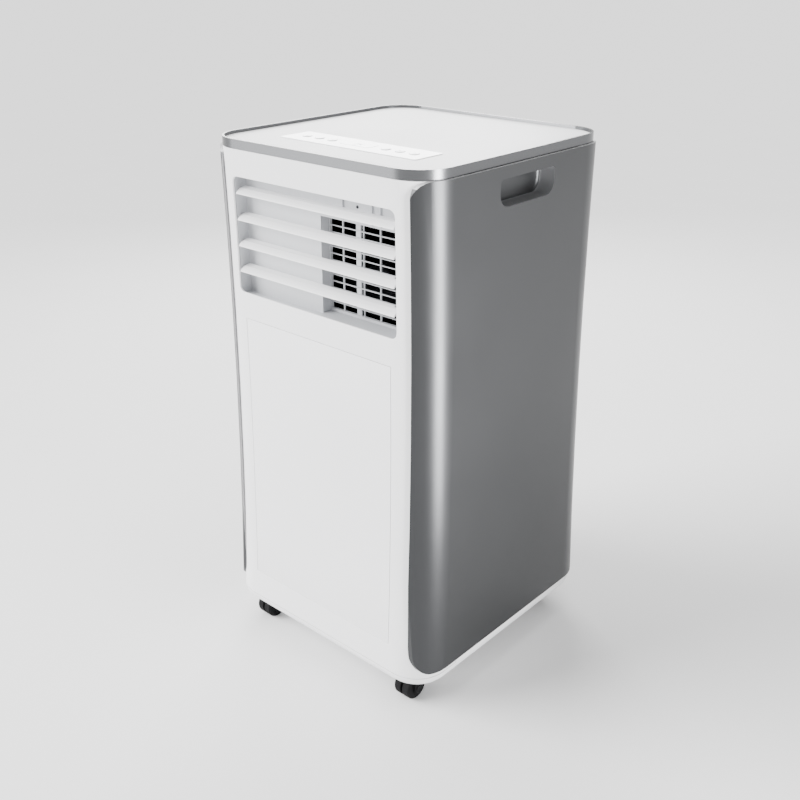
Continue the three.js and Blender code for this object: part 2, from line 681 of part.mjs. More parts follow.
function midDeck() {
  const plate = prism(roundedRect(-168, 168, -160, 160, 35), 'z', DECK_LOW, DECK_TOP);
  const pan = prism(roundedRect(-128, 128, 120, 157, 6), 'z', DECK_LOW + 3, DECK_TOP + 1);
  const pipeHole = rod(8, 'z', DECK_LOW - 1, DECK_TOP + 1, [SUCTION_X, ACCUMULATOR.y, 0], 12);
  return cut(plate, [pan, pipeHole]);
}

// ---- refrigerant circuit

const SUCTION_X = -158;

function compressor() {
  const { x, y, r } = COMPRESSOR;
  return turned([
    [0, 58], [r * 0.6, 58], [r * 0.9, 66], [r, 80], [r, 226], [r * 0.9, 244], [r * 0.55, 256],
    [8, 260], [8, 270], [0, 270],
  ], 'z', [x, y, 0], 20);
}

function compressorMount() {
  const { x, y } = COMPRESSOR;
  const low = BASE_FLOOR + GAP;
  const plate = rod(52, 'z', 54, 57.6, [x, y, 0], 6);
  const feet = [0, 1, 2].map((i) => {
    const angle = 2 * Math.PI * i / 3;
    return rod(9, 'z', low, 55, [x + 40 * Math.cos(angle), y + 40 * Math.sin(angle), 0], 12);
  });
  return join([plate, ...feet]);
}

function accumulator() {
  const { x, y, r } = ACCUMULATOR;
  return turned([[0, 90], [r * 0.6, 92], [r, 104], [r, 226], [r * 0.6, 238], [0, 240]], 'z', [x, y, 0], 16);
}

function pipe(points, radius, steps) {
  const path = new THREE.CatmullRomCurve3(points.map((point) => new THREE.Vector3(...point)), false, 'centripetal');
  const section = new THREE.Shape();
  section.absarc(0, 0, radius, 0, 2 * Math.PI);
  return toSolid(new THREE.ExtrudeGeometry(section, { extrudePath: path, steps, curveSegments: 4 }));
}

function suctionPipe() {
  const { x, y } = ACCUMULATOR;
  return pipe([
    [x, y, 240.5], [x, y, 300], [x - 4, y, 330], [SUCTION_X, y, 366], [SUCTION_X, y, 396],
    [SUCTION_X, y, 424], [SUCTION_X, y + 22, 446], [SUCTION_X, 90, 448], [SUCTION_X + 4, 132, 448],
    [SUCTION_X + 16, 142, 448], [-121.5, 142, 448],
  ], 4.5, 30);
}

function dischargePipe() {
  const { x, y } = COMPRESSOR;
  return pipe([
    [x, y, 270.5], [x, y, 290], [x - 12, y + 16, 306], [x - 50, 60, 306], [-142, 104, 292],
    [-150, 132, 262], [-152, 140, 236], [-148, 142, 210], [-138, 142, 205], [-126.6, 142, 205],
  ], 4, 26);
}

function electricalBox() {
  const body = box(70, 160, -148, -70, 64, 250);
  const lid = box(66, 164, -152, -148.5, 60, 254);
  return body.add(lid).add(box(90, 140, -149, -147, 100, 200));
}

// ---- rear fittings

function exhaustCollar() {
  const { x, z, bore, outer, flange } = EXHAUST;
  const y0 = CONDENSER.y1 + GAP;
  const y1 = rearFaceY(z) + 4;
  return turned([
    [bore, y0], [outer, y0], [outer, 164], [flange, 164], [flange, 166.5], [outer, 166.5],
    [outer, y1], [bore, y1], [bore, y0],
  ], 'y', [x, 0, z], 28);
}

function drainPlug(z) {
  const face = rearFaceY(z);
  return turned([
    [0, 160], [5.5, 160], [7.5, 163], [7.5, face - WALL], [DRAIN.r - GAP, face - WALL],
    [DRAIN.r - GAP, face - 0.2], [0, face - 0.2],
  ], 'y', [DRAIN.x, 0, z], 16);
}

function cableGland() {
  const face = rearFaceY(GLAND.z);
  const inner = face - WALL - 2.5;
  const mouthR = 3.6;
  return turned([
    [mouthR, inner], [GLAND.r + 2.4, inner], [GLAND.r + 2.4, inner + 1.8], [GLAND.r - GAP, inner + 1.8],
    [GLAND.r - GAP, face - 0.4], [mouthR + 2, face + 0.4], [mouthR, face + 0.4], [mouthR, inner],
  ], 'y', [GLAND.x, 0, GLAND.z], 16);
}

// ---- assembly

const airConditioner = new THREE.Group();

function place(name, solid, finish) {
  const [color, roughness, metalness] = FINISH[finish];
  const material = new THREE.MeshStandardMaterial({ color, roughness, metalness });
  const mesh = new THREE.Mesh(toGeometry(solid), material);
  mesh.name = name;
  airConditioner.add(mesh);
}

place('base_tray', baseTray(), 'whitePlastic');
const CORNER_NAMES = ['front_left', 'front_right', 'rear_left', 'rear_right'];
casterPlaces().forEach(([x, y], i) => {
  place(`caster_fork_${CORNER_NAMES[i]}`, casterFork(x, y), 'black');
  place(`caster_wheel_${CORNER_NAMES[i]}`, casterWheel(x, y), 'rubber');
});

place('front_panel', frontPanel(), 'whitePlastic');
place('lower_front_cover', lowerFrontCover(), 'whitePlastic');
place('side_panel_right', sidePanel(1), 'silver');
place('side_panel_left', sidePanel(-1), 'silver');
place('rear_panel', rearPanel(), 'whitePlastic');
place('upper_intake_grille', intakeGrille(UPPER_INTAKE), 'whitePlastic');
place('upper_filter', intakeFilter(), 'foam');
place('lower_intake_grille', intakeGrille(LOWER_INTAKE), 'whitePlastic');

place('top_rim', topRim(), 'brightSilver');
place('top_plate', topPlate(), 'topPlastic');
place('control_panel', controlPanel(), 'glossWhite');
place('display_window', prism(displayOutline(0), 'z', DISPLAY_SEAT + GAP, CONTROL_TOP + 0.2), 'paleGlass');
BUTTON_X.forEach((x, i) => place(`button_${i + 1}`, button(x), 'glossWhite'));
place('control_board', controlBoard(), 'board');

place('outlet_duct', outletDuct(), 'ductGrey');
place('outlet_guard', outletGuard(), 'ductGrey');
louverHeights().forEach((z, i) => place(`louver_${i + 1}`, louver(z), 'whitePlastic'));
place('louver_link', louverLink(), 'black');
place('louver_motor', louverMotor(), 'steel');

place('mid_deck', midDeck(), 'black');
place('evaporator_coil', finnedCoil(121, DECK_TOP - 4, 650, 16), 'aluminium');
place('evaporator_housing', evaporatorHousing(), 'black');
place('evaporator_blower', blowerWheel(EVAPORATOR.x, EVAPORATOR.z, EVAPORATOR.wheelR, -2, 98, 16), 'black');
place('evaporator_motor', fanMotor(EVAPORATOR.x, EVAPORATOR.z, 36, -62, -8, 18, 141.4), 'steel');

place('condenser_coil', finnedCoil(126, BASE_FLOOR + 12, 228, 16), 'aluminium');
place('condenser_housing', condenserHousing(), 'black');
place('condenser_blower', blowerWheel(EXHAUST.x, EXHAUST.z, CONDENSER.wheelR, 48, 130, 12), 'black');
place('condenser_motor', fanMotor(EXHAUST.x, EXHAUST.z, 30, -38, 4, 62, 60), 'steel');

place('compressor', compressor(), 'steel');
place('compressor_mount', compressorMount(), 'steel');
place('accumulator', accumulator(), 'steel');
place('suction_pipe', suctionPipe(), 'copper');
place('discharge_pipe', dischargePipe(), 'copper');
place('electrical_box', electricalBox(), 'black');
place('capacitor', rod(20, 'z', BASE_FLOOR + GAP, 120, [36, -110, 0], 20), 'aluminium');

place('exhaust_collar', exhaustCollar(), 'ductGrey');
place('drain_plug_upper', drainPlug(DRAIN.upperZ), 'rubber');
place('drain_plug_lower', drainPlug(DRAIN.lowerZ), 'rubber');
place('cable_gland', cableGland(), 'black');

export default airConditioner;
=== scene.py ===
"""Looks of a portable air conditioner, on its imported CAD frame. Metres, +Z up, front towards -Y."""
import json
import math

import bmesh
import bpy
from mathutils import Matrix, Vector
from mathutils.bvhtree import BVHTree


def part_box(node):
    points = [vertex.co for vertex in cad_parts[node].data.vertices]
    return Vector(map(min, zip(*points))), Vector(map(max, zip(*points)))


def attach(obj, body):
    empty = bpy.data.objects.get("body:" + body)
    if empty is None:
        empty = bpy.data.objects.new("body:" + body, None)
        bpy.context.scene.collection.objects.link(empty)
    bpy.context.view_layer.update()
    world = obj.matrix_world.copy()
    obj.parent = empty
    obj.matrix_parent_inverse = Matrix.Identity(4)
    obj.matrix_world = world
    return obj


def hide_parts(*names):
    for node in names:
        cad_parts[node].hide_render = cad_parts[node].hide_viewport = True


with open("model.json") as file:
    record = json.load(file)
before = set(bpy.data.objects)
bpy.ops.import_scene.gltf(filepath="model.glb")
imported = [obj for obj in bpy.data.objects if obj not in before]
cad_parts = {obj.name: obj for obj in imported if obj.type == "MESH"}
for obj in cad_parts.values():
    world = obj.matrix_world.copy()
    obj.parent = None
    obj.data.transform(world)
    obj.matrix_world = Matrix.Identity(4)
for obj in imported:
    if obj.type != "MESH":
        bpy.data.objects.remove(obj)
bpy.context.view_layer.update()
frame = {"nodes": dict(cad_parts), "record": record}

# ---- camera: the photograph's angle
CAMERA_AT = (0.8575, -0.9820, 0.9215)
CAMERA_YAW = math.radians(41.65)
CAMERA_PITCH = math.radians(21.54)
CAMERA_LENS = 46.6
CAMERA_SHIFT_Y = -0.0625
SENSOR = 36.0

# ---- colours, linear
WHITE = (0.80, 0.80, 0.81)
TOP_WHITE = (0.80, 0.803, 0.81)
PALE_GREY = (0.52, 0.53, 0.55)
SILVER = (0.047, 0.048, 0.050)
BRIGHT_SILVER = (0.104, 0.106, 0.110)
GLOSS_WHITE = (0.88, 0.885, 0.89)
MILKY = (0.78, 0.80, 0.83)
PRINT_GREY = (0.42, 0.43, 0.45)
# painted light: the grip's walls are a lighter grey than the panel, to cancel the shade inside the recess
GRIP_LIGHTENED_GREY = (0.14, 0.142, 0.147)
# painted highlight: the cut edges' pale grey stands in for the light they catch
EDGE_HIGHLIGHT_GREY = (0.45, 0.452, 0.457)
BLACK = (0.006, 0.006, 0.0065)
RUBBER = (0.007, 0.007, 0.0075)
ALUMINIUM = (0.62, 0.63, 0.64)
COPPER = (0.72, 0.34, 0.2)
DARK_STEEL = (0.05, 0.052, 0.058)
BOARD = (0.02, 0.14, 0.06)
FILTER = (0.09, 0.095, 0.1)
FLOOR = (0.92, 0.92, 0.92)

# ---- measures read off the frame's solids
CORNER_X = 0.1315  # centres of the cabinet's upright rounded corners
CORNER_Y = 0.1335
FLAT_X = 0.129  # within these the sides are flat at every height
FLAT_Y = 0.128
GRIP_Y = (-0.056, 0.064)  # the hand grip's opening
GRIP_Z = (0.634, 0.679)
CHEEK = 0.0034  # from the wheel's side to the outside of the fork

# ---- rounding of the solids' edges
SHARP_ANGLE = 32.0  # degrees; where faces meet at less than this, the skin is smooth
SAME_PLANE = 0.4  # degrees; faces that differ by less become one
SAME_PLACE = 1e-6
ROUNDING_STEPS = 2
USUAL_RADIUS = 0.0005
EDGE_RADIUS = {
    "side_panel_left": 0.0008, "side_panel_right": 0.0008, "front_panel": 0.0008, "rear_panel": 0.0008,
    "top_rim": 0.0008, "base_tray": 0.0008, "outlet_guard": 0.0003, "control_panel": 0.0004,
    "display_window": 0.0003,
}
SKINS = ("side_panel_left", "side_panel_right", "front_panel", "rear_panel", "base_tray", "top_rim")
EDGE_ON = 0.7  # a face whose normal has less than this along the skin's own is a cut edge

# ---- printing on the keys and the display
PRINT_HIGH = 0.00006
SYMBOL_BAR = 0.0002  # half the width of a printed line
SYMBOL_HALF = 0.0016
SYMBOL_STEP = 0.001
SYMBOL_RING = (0.0014, 0.0018)
POWER_TICK = (0, 0.0005, SYMBOL_BAR, 0.0012)
CLOCK_HAND = (0, 0.0004, SYMBOL_BAR, 0.0006)
FIGURE_HALF_X = 0.002
FIGURE_HALF_Y = 0.0038
FIGURE_BAR = 0.00035
FIGURE_PLACES = {"2": -0.0035, "4": 0.0035}
FIGURES = {"2": (1, 0, 1, 1, 1, 0, 1), "4": (0, 1, 1, 1, 0, 1, 0)}  # which of seven_bars are lit

# ---- small parts
DUCT_SCREW_AT = (0.0585, -0.156, 0.642)
DUCT_SCREW_RADIUS = 0.002
REAR_SCREWS = [(x, z) for x in (-0.140, 0.140) for z in (0.095, 0.235, 0.385, 0.668)]
REAR_SCREW_RADIUS = 0.0032
REAR_SCREW_SUNK = 0.0006
SCREW_HIGH = 0.55  # times the head's radius, as the next two are
CROSS_HALF_LONG = 0.5
CROSS_HALF_THIN = 0.11
CROSS_PROUD = 0.00005
LUG_COUNT = 3
LUG_STEPS = 8
LUG_INNER = 0.0635
LUG_OUTER = 0.0672
LUG_SPAN = 0.5  # radians
LUG_DEPTHS = (0.009, 0.005)  # from the mouth of the collar
# (radius, how far it stands out from the fork)
CAP_PROFILE = [(0.0062, 0), (0.0062, 0.0006), (0.0054, 0.0012), (0.003, 0.0009), (0, 0.0009)]
FILTER_FRAME = 0.005
FILTER_BAYS = 3
THREAD_HALF = 0.00022
THREAD_PITCH = 0.0022
FIN_HALF = 0.00022
FIN_PITCH = 0.0024
FIN_INSET = 0.001
END_PLATE = 0.0015
TUBE_PITCH = 0.021
TUBE_RADIUS = 0.0035
TUBE_INSET = 0.007

# ---- floor and light
FLOOR_HALF = 60.0
WORLD_STRENGTH = 0.9
KEY_FROM = (-0.85, -0.8, 0.6)
KEY_STRENGTH = 7.6
KEY_SPREAD = 45.0
STRIP_AT = (0.85, -0.10, 0.41)
STRIP_TOWARDS = (0.18, -0.12, 0.60)
STRIP_WIDTH = 0.26
STRIP_HEIGHT = 0.8
STRIP_SPREAD = 70.0
STRIP_POWER = 6.4
OVERHEAD_Z = 1.7
OVERHEAD_SIZE = 0.9
OVERHEAD_POWER = 8.0
FRONT_AT = (-0.80, -1.08, 0.25)
FRONT_TOWARDS = (0.0, -0.18, 0.6)
FRONT_SIZE = 0.8
FRONT_POWER = 11.0
BACK_AT = (-1.24, 1.30, 1.43)
BACK_TOWARDS = (0.1, 0.0, 0.69)
BACK_SIZE = 1.1
BACK_POWER = 42.0


# ---- materials

NOISE_LOW, NOISE_HIGH = 0.3, 0.7  # where most of a noise texture's values lie
DRIFT_SCALE = 6.0
GRAIN_STRENGTH = 0.35
COAT_ROUGHNESS = 0.15
BRUSH_SCALE = 60.0
BRUSH_STRETCH = (1.0, 1.0, 30.0)
WEAVE_SCALE = 160.0
WEAVE_DEPTH = 0.0003


def new_material(name):
    """A material with its shader nodes and their links."""
    material = bpy.data.materials.new(name)
    material.use_nodes = True
    return material, material.node_tree.nodes, material.node_tree.links


def noise(nodes, links, coordinates, scale, detail):
    """A noise texture fixed to the object."""
    texture = nodes.new("ShaderNodeTexNoise")
    texture.inputs["Scale"].default_value = scale
    texture.inputs["Detail"].default_value = detail
    links.new(coordinates.outputs["Object"], texture.inputs["Vector"])
    return texture


def ramp_range(nodes, links, source, low, high):
    """Maps a 0 to 1 noise to the range given, with the middle of the noise spread out."""
    mapper = nodes.new("ShaderNodeMapRange")
    mapper.inputs["From Min"].default_value = NOISE_LOW
    mapper.inputs["From Max"].default_value = NOISE_HIGH
    mapper.inputs["To Min"].default_value = low
    mapper.inputs["To Max"].default_value = high
    links.new(source, mapper.inputs["Value"])
    return mapper.outputs["Result"]


def varied_colour(nodes, links, source, colour, spread):
    """A colour that drifts a little lighter and darker with the noise given."""
    mix = nodes.new("ShaderNodeMix")
    mix.data_type = "RGBA"
    mix.inputs["A"].default_value = (*[c * (1 - spread) for c in colour], 1)
    mix.inputs["B"].default_value = (*[min(1, c * (1 + spread)) for c in colour], 1)
    links.new(source, mix.inputs["Factor"])
    return mix.outputs["Result"]


def bump(nodes, links, source, strength, distance):
    """The normal of a surface raised by the source, as high as distance."""
    node = nodes.new("ShaderNodeBump")
    node.inputs["Strength"].default_value = strength
    node.inputs["Distance"].default_value = distance
    links.new(source, node.inputs["Height"])
    return node.outputs["Normal"]


def moulded(name, colour, roughness, metallic=0.0, grain=900.0, grain_depth=0.00002, spread=0.02,
            coat=0.0, specular=0.5):
    """Moulded or painted surface: fine grain, with a slow drift in colour and gloss."""
    material, nodes, links = new_material(name)
    shader = nodes["Principled BSDF"]
    coordinates = nodes.new("ShaderNodeTexCoord")
    drift = noise(nodes, links, coordinates, DRIFT_SCALE, 4.0).outputs["Fac"]
    fine = noise(nodes, links, coordinates, grain, 2.0).outputs["Fac"]
    links.new(varied_colour(nodes, links, drift, colour, spread), shader.inputs["Base Color"])
    links.new(ramp_range(nodes, links, drift, roughness * 0.9, roughness * 1.1), shader.inputs["Roughness"])
    links.new(bump(nodes, links, fine, GRAIN_STRENGTH, grain_depth), shader.inputs["Normal"])
    shader.inputs["Metallic"].default_value = metallic
    shader.inputs["Specular IOR Level"].default_value = specular
    shader.inputs["Coat Weight"].default_value = coat
    shader.inputs["Coat Roughness"].default_value = COAT_ROUGHNESS
    return material


def brushed(name, colour, roughness):
    """Bare metal with fine drawn lines."""
    material, nodes, links = new_material(name)
    shader = nodes["Principled BSDF"]
    coordinates = nodes.new("ShaderNodeTexCoord")
    stretch = nodes.new("ShaderNodeMapping")
    stretch.inputs["Scale"].default_value = BRUSH_STRETCH
    links.new(coordinates.outputs["Object"], stretch.inputs["Vector"])
    texture = nodes.new("ShaderNodeTexNoise")
    texture.inputs["Scale"].default_value = BRUSH_SCALE
    links.new(stretch.outputs["Vector"], texture.inputs["Vector"])
    lines = texture.outputs["Fac"]
    links.new(varied_colour(nodes, links, lines, colour, 0.08), shader.inputs["Base Color"])
    links.new(ramp_range(nodes, links, lines, roughness * 0.8, roughness * 1.2), shader.inputs["Roughness"])
    links.new(bump(nodes, links, lines, 0.2, 0.00005), shader.inputs["Normal"])
    shader.inputs["Metallic"].default_value = 1.0
    return material


def woven_filter(name, colour):
    """Fine square mesh of the dust filter, in bump and colour."""
    material, nodes, links = new_material(name)
    shader = nodes["Principled BSDF"]
    coordinates = nodes.new("ShaderNodeTexCoord")
    heights = []
    for axis in ("X", "Z"):
        wave = nodes.new("ShaderNodeTexWave")
        wave.bands_direction = axis
        wave.inputs["Scale"].default_value = WEAVE_SCALE
        links.new(coordinates.outputs["Object"], wave.inputs["Vector"])
        heights.append(wave.outputs["Fac"])
    both = nodes.new("ShaderNodeMath")
    both.operation = "MAXIMUM"
    links.new(heights[0], both.inputs[0])
    links.new(heights[1], both.inputs[1])
    links.new(varied_colour(nodes, links, both.outputs[0], colour, 0.6), shader.inputs["Base Color"])
    links.new(bump(nodes, links, both.outputs[0], 0.8, WEAVE_DEPTH), shader.inputs["Normal"])
    shader.inputs["Roughness"].default_value = 0.85
    return material


MATERIALS = {
    "white_plastic": moulded("white_plastic", WHITE, 0.38),
    "top_plastic": moulded("top_plastic", TOP_WHITE, 0.42, grain=700.0, grain_depth=0.00004),
    "silver_paint": moulded("silver_paint", SILVER, 0.36, metallic=0.85, grain=1500.0),
    "bright_silver": moulded("bright_silver", BRIGHT_SILVER, 0.26, metallic=0.95, grain=1500.0),
    "gloss_white": moulded("gloss_white", GLOSS_WHITE, 0.12, spread=0.01, coat=0.5),
    "pale_window": moulded("pale_window", MILKY, 0.08, coat=0.6),
    "duct_grey": moulded("duct_grey", PALE_GREY, 0.45),
    "black_plastic": moulded("black_plastic", BLACK, 0.45, spread=0.15, specular=0.08),
    "soft_rubber": moulded("soft_rubber", RUBBER, 0.62, spread=0.2, grain=500.0, grain_depth=0.0001,
                           specular=0.08),
    "bare_aluminium": brushed("bare_aluminium", ALUMINIUM, 0.35),
    "copper_tube": brushed("copper_tube", COPPER, 0.3),
    "dark_steel": moulded("dark_steel", DARK_STEEL, 0.35, metallic=0.5, spread=0.1),
    "compressor_shell": moulded("compressor_shell", BLACK, 0.3, metallic=0.2, spread=0.2),
    "circuit_board": moulded("circuit_board", BOARD, 0.4, spread=0.15),
    "filter_mesh": woven_filter("filter_mesh", FILTER),
}
# painted light: a lighter, less metallic grey on the grip's walls against the recess's shade
GRIP_LIGHTENED_MATERIAL = moulded("grip_lightened", GRIP_LIGHTENED_GREY, 0.4, metallic=0.3, grain=1500.0)
# painted highlight: a pale, less metallic grey on the panels' cut edges
EDGE_HIGHLIGHT_MATERIAL = moulded("edge_highlight", EDGE_HIGHLIGHT_GREY, 0.4, metallic=0.2, grain=1500.0)
PRINT = moulded("print_grey", PRINT_GREY, 0.4)


# ---- pieces made from the frame's solids

SLOT_OF = {row["node"]: row["material_slot"] for row in frame["record"]["subparts"]}
BODY_OF = {
    node: body for body, nodes in frame["record"]["behaviour"]["bodies"].items() for node in nodes
}
REBUILT = ("upper_filter", "evaporator_coil", "condenser_coil")


def cut_across(work, point, normal):
    """Cuts every face that the plane crosses in two."""
    everything = work.verts[:] + work.edges[:] + work.faces[:]
    bmesh.ops.bisect_plane(work, geom=everything, dist=SAME_PLACE, plane_co=point, plane_no=normal)


def split_flats(work):
    """Cuts the flat sides beside the round corners, so that the corners' smooth shading stops there."""
    for place in (-FLAT_X, FLAT_X):
        cut_across(work, (place, 0, 0), (1, 0, 0))
    for place in (-FLAT_Y, FLAT_Y):
        cut_across(work, (0, place, 0), (0, 1, 0))


def finish_piece(piece, node):
    """Makes an object stand for the node, with the node's body and material slot."""
    slot = SLOT_OF[node]
    piece.data.materials.clear()
    piece.data.materials.append(MATERIALS[slot])
    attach(piece, BODY_OF[node])
    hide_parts(node)


def refined(node, radius):
    """A copy of a CAD solid with rounded edges and smooth skin, which stands for the node."""
    mesh = frame["nodes"][node].data.copy()
    work = bmesh.new()
    work.from_mesh(mesh)
    bmesh.ops.remove_doubles(work, verts=work.verts, dist=SAME_PLACE)
    flat = math.radians(SAME_PLANE)
    bmesh.ops.dissolve_limit(work, angle_limit=flat, verts=work.verts, edges=work.edges)
    if node in SKINS:
        split_flats(work)
    work.to_mesh(mesh)
    work.free()
    piece = bpy.data.objects.new(f"{node}_shown", mesh)
    bpy.context.scene.collection.objects.link(piece)
    mesh.shade_smooth()
    mesh.set_sharp_from_angle(angle=math.radians(SHARP_ANGLE))
    rounding = piece.modifiers.new("rounded_edges", "BEVEL")
    rounding.width = radius
    rounding.segments = ROUNDING_STEPS
    rounding.limit_method = "ANGLE"
    rounding.angle_limit = math.radians(SHARP_ANGLE)
    rounding.harden_normals = True
    finish_piece(piece, node)
    return piece


pieces = {
    node: refined(node, EDGE_RADIUS.get(node, USUAL_RADIUS)) for node in frame["nodes"] if node not in REBUILT
}


# ---- what the solids don't carry

def light_edges_and_grip(piece):
    """The panel's cut edges get a pale grey, a painted highlight for the light they catch, and the walls of
    its grip a lighter grey than the panel, painted light against the shade in the recess; both are less
    metallic than the panel.
    """
    piece.data.materials.append(GRIP_LIGHTENED_MATERIAL)
    piece.data.materials.append(EDGE_HIGHLIGHT_MATERIAL)
    grip_index, edge_index = 1, 2
    for face in piece.data.polygons:
        x, y, z = face.center
        flat_x = max(-CORNER_X, min(CORNER_X, x))
        flat_y = max(-CORNER_Y, min(CORNER_Y, y))
        outward = Vector((x - flat_x, y - flat_y, 0)).normalized()
        # painted light on the faces picked here: a lightened grey in the grip, a painted highlight on the
        # edges
        if abs(face.normal.dot(outward)) < EDGE_ON:
            in_grip = GRIP_Y[0] < y < GRIP_Y[1] and GRIP_Z[0] < z < GRIP_Z[1]
            face.material_index = grip_index if in_grip else edge_index


for panel in ("side_panel_right", "side_panel_left"):
    light_edges_and_grip(pieces[panel])


def linked(name, work):
    """The mesh built in work as an object in the scene."""
    mesh = bpy.data.meshes.new(name)
    work.to_mesh(mesh)
    work.free()
    mesh.shade_smooth()
    mesh.set_sharp_from_angle(angle=math.radians(SHARP_ANGLE))
    piece = bpy.data.objects.new(name, mesh)
    bpy.context.scene.collection.objects.link(piece)
    return piece


def new_piece(name, work, node, slot, material=None):
    """Makes the mesh built in work a piece that rides with the node given."""
    piece = linked(name, work)
    piece.data.materials.append(material or MATERIALS[slot])
    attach(piece, BODY_OF[node])
    return piece


def lathe(work, profile, at, axis, segments=20):
    """Turns (radius, height) points about the axis through at. A radius of 0 closes the form there."""
    directions = [Vector((1, 0, 0)), Vector((0, 1, 0)), Vector((0, 0, 1))]
    along = "xyz".index(axis)
    u, v, w = directions[along - 2], directions[along - 1], directions[along]
    rings = []
    for radius, height in profile:
        middle = Vector(at) + w * height
        if radius == 0:
            rings.append([work.verts.new(middle)] * segments)
            continue
        turn = [2 * math.pi * i / segments for i in range(segments)]
        rings.append([work.verts.new(middle + (u * math.cos(a) + v * math.sin(a)) * radius) for a in turn])
    for low, high in zip(rings, rings[1:]):
        for i in range(segments):
            j = (i + 1) % segments
            corners = list(dict.fromkeys((low[i], low[j], high[j], high[i])))
            if len(corners) > 2:
                work.faces.new(corners)
    bmesh.ops.recalc_face_normals(work, faces=work.faces)


def slab(work, x, y, z):
    """A box between the pairs given."""
    corners = [work.verts.new((x[i], y[j], z[k])) for i in (0, 1) for j in (0, 1) for k in (0, 1)]
    for quad in ((0, 1, 3, 2), (4, 6, 7, 5), (0, 4, 5, 1), (2, 3, 7, 6), (0, 2, 6, 4), (1, 5, 7, 3)):
        work.faces.new([corners[i] for i in quad])
    bmesh.ops.recalc_face_normals(work, faces=work.faces)


def ring(work, x, y, z):
    """A flat printed ring."""
    inner, outer = SYMBOL_RING
    profile = [(inner, 0), (outer, 0), (outer, PRINT_HIGH), (inner, PRINT_HIGH), (inner, 0)]
    lathe(work, profile, (x, y, z), "z")


def strokes(work, x, y, z, bars):
    """Printed bars, each as (x, y, half width, half height) about the point given."""
    for bar_x, bar_y, half_x, half_y in bars:
        left, right = x + bar_x - half_x, x + bar_x + half_x
        near, far = y + bar_y - half_y, y + bar_y + half_y
        slab(work, (left, right), (near, far), (z, z + PRINT_HIGH))


def rising_bars():
    """Three printed bars on one base line, each taller than the last."""
    bars = []
    for i in range(3):
        half = SYMBOL_STEP * (i + 1) / 2
        bars.append((SYMBOL_STEP * (i - 1), half - SYMBOL_STEP, SYMBOL_BAR, half))
    return bars


def button_symbols():
    """Plain symbols on the six buttons: on and off, less, more, speed, timer and swing."""
    minus = (0, 0, SYMBOL_HALF, SYMBOL_BAR)
    symbols = {
        "button_1": [POWER_TICK],
        "button_2": [minus],
        "button_3": [minus, (0, 0, SYMBOL_BAR, SYMBOL_HALF)],
        "button_4": rising_bars(),
        "button_5": [CLOCK_HAND],
        "button_6": [(0, up, SYMBOL_HALF, SYMBOL_BAR) for up in (-SYMBOL_STEP, 0, SYMBOL_STEP)],
    }
    ringed = ("button_1", "button_5")
    for name, bars in symbols.items():
        low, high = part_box(name)
        x, y, z = (low[0] + high[0]) / 2, (low[1] + high[1]) / 2, high[2]
        work = bmesh.new()
        if name in ringed:
            ring(work, x, y, z)
        strokes(work, x, y, z, bars)
        new_piece(f"{name}_symbol", work, name, SLOT_OF[name], PRINT)


def seven_bars():
    """The bars of a figure: top, upper left and right, middle, lower left and right, bottom."""
    bars = []
    for level in (1, 0, -1):
        bars.append((0, level * FIGURE_HALF_Y, FIGURE_HALF_X, FIGURE_BAR))
        if level > -1:
            y = (level - 0.5) * FIGURE_HALF_Y
            bars += [(side * FIGURE_HALF_X, y, FIGURE_BAR, FIGURE_HALF_Y / 2) for side in (-1, 1)]
    return bars


def display_figures():
    """The set temperature in seven-bar figures."""
    low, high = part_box("display_window")
    y, z = (low[1] + high[1]) / 2, high[2]
    work = bmesh.new()
    for figure, x in FIGURE_PLACES.items():
        strokes(work, x, y, z, [bar for bar, lit in zip(seven_bars(), FIGURES[figure]) if lit])
    new_piece("display_figures", work, "display_window", SLOT_OF["display_window"], PRINT)


def rails(low, high):
    """Even rails of one width from low to high, as (start, end) pairs."""
    spans = []
    for i in range(FILTER_BAYS + 1):
        middle = low + (high - low) * i / FILTER_BAYS
        half = FILTER_FRAME / 2 if 0 < i < FILTER_BAYS else FILTER_FRAME
        spans.append((max(low, middle - half), min(high, middle + half)))
    return spans


def dust_filter():
    """The pull-out filter: a frame with cross ribs and a net of fine threads."""
    low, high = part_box("upper_filter")
    middle = (low[1] + high[1]) / 2
    work = bmesh.new()
    for span in rails(low[0], high[0]):
        slab(work, span, (low[1], high[1]), (low[2], high[2]))
    for span in rails(low[2], high[2]):
        slab(work, (low[0], high[0]), (low[1], high[1]), span)
    finish_piece(linked("dust_filter_frame", work), "upper_filter")
    front = (middle - THREAD_HALF, middle + THREAD_HALF)
    back = (middle, middle + 2 * THREAD_HALF)
    work = bmesh.new()
    for i in range(1, int((high[0] - low[0]) / THREAD_PITCH)):
        x = low[0] + i * THREAD_PITCH
        slab(work, (x - THREAD_HALF, x + THREAD_HALF), front, (low[2], high[2]))
    for i in range(1, int((high[2] - low[2]) / THREAD_PITCH)):
        z = low[2] + i * THREAD_PITCH
        slab(work, (low[0], high[0]), back, (z - THREAD_HALF, z + THREAD_HALF))
    finish_piece(linked("dust_filter_net", work), "upper_filter")


